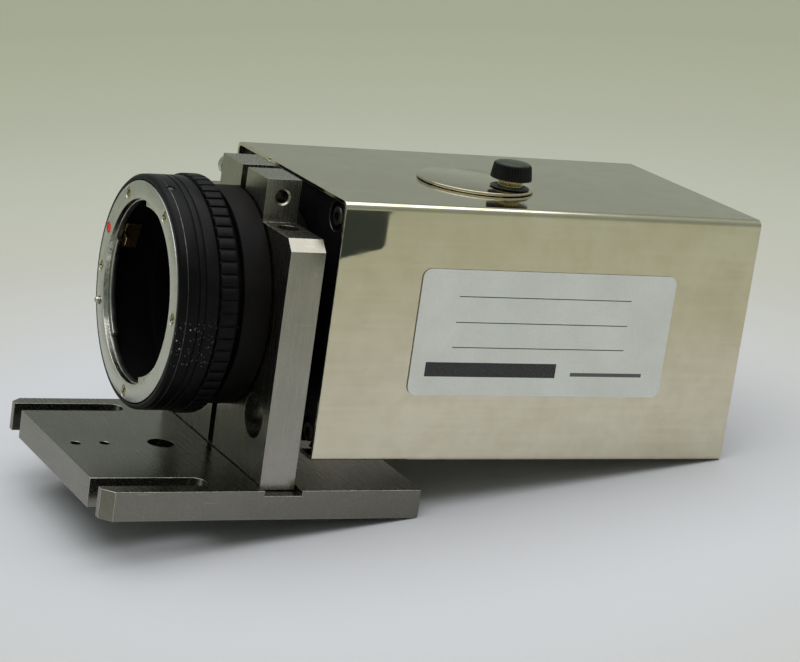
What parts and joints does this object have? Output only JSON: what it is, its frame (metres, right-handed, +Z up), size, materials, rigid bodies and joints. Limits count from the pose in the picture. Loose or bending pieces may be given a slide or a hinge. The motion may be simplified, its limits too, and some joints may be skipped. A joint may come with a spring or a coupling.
{
  "type": "cooled astronomy camera",
  "caption": "Box-shaped cooled astronomy camera with a bayonet lens mount, gripped by a split clamp on a slotted base plate.",
  "frame": {"origin": "underside of the base plate, below the lens axis and level with the upright's front face", "axes": "+Z up from the base plate, the lens faces -Y and the box runs towards +Y, X across the plate"},
  "size_m": [0.0824, 0.1934, 0.0955],
  "materials": {
    "grey_anodised": "satin grey anodised, fine machining marks",
    "black_anodised": "satin black anodised",
    "polished_cover": "polished sheet, slightly tarnished and hazy",
    "bright_flange": "satin chrome",
    "screw_steel": "plain steel, slightly tarnished",
    "brass": "worn brass",
    "index_red": "red paint",
    "label_white": "satin white label",
    "black_plastic": "black moulded plastic",
    "board_green": "green circuit board",
    "window_glass": "coated optical glass",
    "ceramic": "bare ceramic",
    "plain_aluminium": "bare extruded aluminium"
  },
  "bodies": {
    "stand": {"base_plate": "grey_anodised", "clamp_upright": "grey_anodised", "upright_screw_near": "screw_steel", "upright_screw_far": "screw_steel", "clamp_screw": "screw_steel"},
    "camera": {"adapter_ring": "black_anodised", "mount_barrel": "black_anodised", "grip_ring": "black_anodised", "front_plate": "black_anodised", "sensor_chamber": "black_anodised", "housing_cover": "polished_cover", "chassis": "polished_cover", "bayonet_flange": "bright_flange", "barrel_set_screw": "screw_steel", "knob_nut": "screw_steel", "data_connector": "screw_steel", "power_connector": "screw_steel", "flange_screw_1": "screw_steel", "flange_screw_2": "screw_steel", "flange_screw_3": "screw_steel", "flange_screw_4": "screw_steel", "flange_screw_5": "screw_steel", "tie_bolt_1": "screw_steel", "tie_bolt_2": "screw_steel", "tie_bolt_3": "screw_steel", "tie_bolt_4": "screw_steel", "rear_nut_1": "screw_steel", "rear_nut_2": "screw_steel", "rear_nut_3": "screw_steel", "rear_nut_4": "screw_steel", "cover_screw_1": "screw_steel", "cover_screw_2": "screw_steel", "cover_screw_3": "screw_steel", "cover_screw_4": "screw_steel", "board_post_1": "brass", "board_post_2": "brass", "board_post_3": "brass", "board_post_4": "brass", "index_dot": "index_red", "label_plate": "label_white", "window_seal": "black_plastic", "fan_frame": "black_plastic", "main_board": "board_green", "readout_board": "board_green", "window_glass": "window_glass", "ccd_sensor": "ceramic", "peltier_cooler": "ceramic", "heat_sink": "plain_aluminium", "cold_finger": "plain_aluminium"},
    "lens_lock": {"lock_pin": "screw_steel", "release_slider": "black_anodised"},
    "aperture_lever": {"aperture_lever": "brass"},
    "access_cover": {"access_disc": "polished_cover"},
    "thumb_washer": {"thumb_collar": "black_anodised"},
    "thumb_screw": {"thumb_knob": "black_plastic", "thumb_shank": "brass"},
    "fan_rotor": {"fan_rotor": "black_plastic"}
  },
  "joints": [
    {"name": "camera_roll", "type": "hinge", "parent": "stand", "child": "camera", "pos_m": [0, 0, 0.051], "axis": [0, 1, 0], "range_deg": [-10, 10]},
    {"name": "lens_lock_slide", "type": "slide", "parent": "camera", "child": "lens_lock", "axis": [0, 1, 0], "range_m": [0, 0.0015], "stiffness_N_per_m": 300, "springref_m": -0.002},
    {"name": "aperture_lever_swing", "type": "hinge", "parent": "camera", "child": "aperture_lever", "pos_m": [0, -0.0215, 0.051], "axis": [0, 1, 0], "range_deg": [0, 25], "stiffness_Nm_per_rad": 0.02, "springref_deg": -17.19},
    {"name": "access_cover_swing", "type": "hinge", "parent": "camera", "child": "access_cover", "pos_m": [0.0143, 0.0742, 0.0874], "axis": [0, 0, 1], "continuous": true},
    {"name": "thumb_screw_lift", "type": "slide", "parent": "camera", "child": "thumb_washer", "axis": [0, 0, 1], "range_m": [0, 0.0015]},
    {"name": "thumb_screw_turn", "type": "hinge", "parent": "thumb_washer", "child": "thumb_screw", "pos_m": [0.0143, 0.0742, 0.092], "axis": [0, 0, 1], "range_deg": [0, 1081]},
    {"name": "fan_spin", "type": "hinge", "parent": "camera", "child": "fan_rotor", "pos_m": [0, 0.135, 0.058], "axis": [0, 1, 0], "continuous": true}
  ],
  "couplings": [
    {"joint": "thumb_screw_turn", "follows": "thumb_screw_lift", "rad_per_m": 12566}
  ]
}
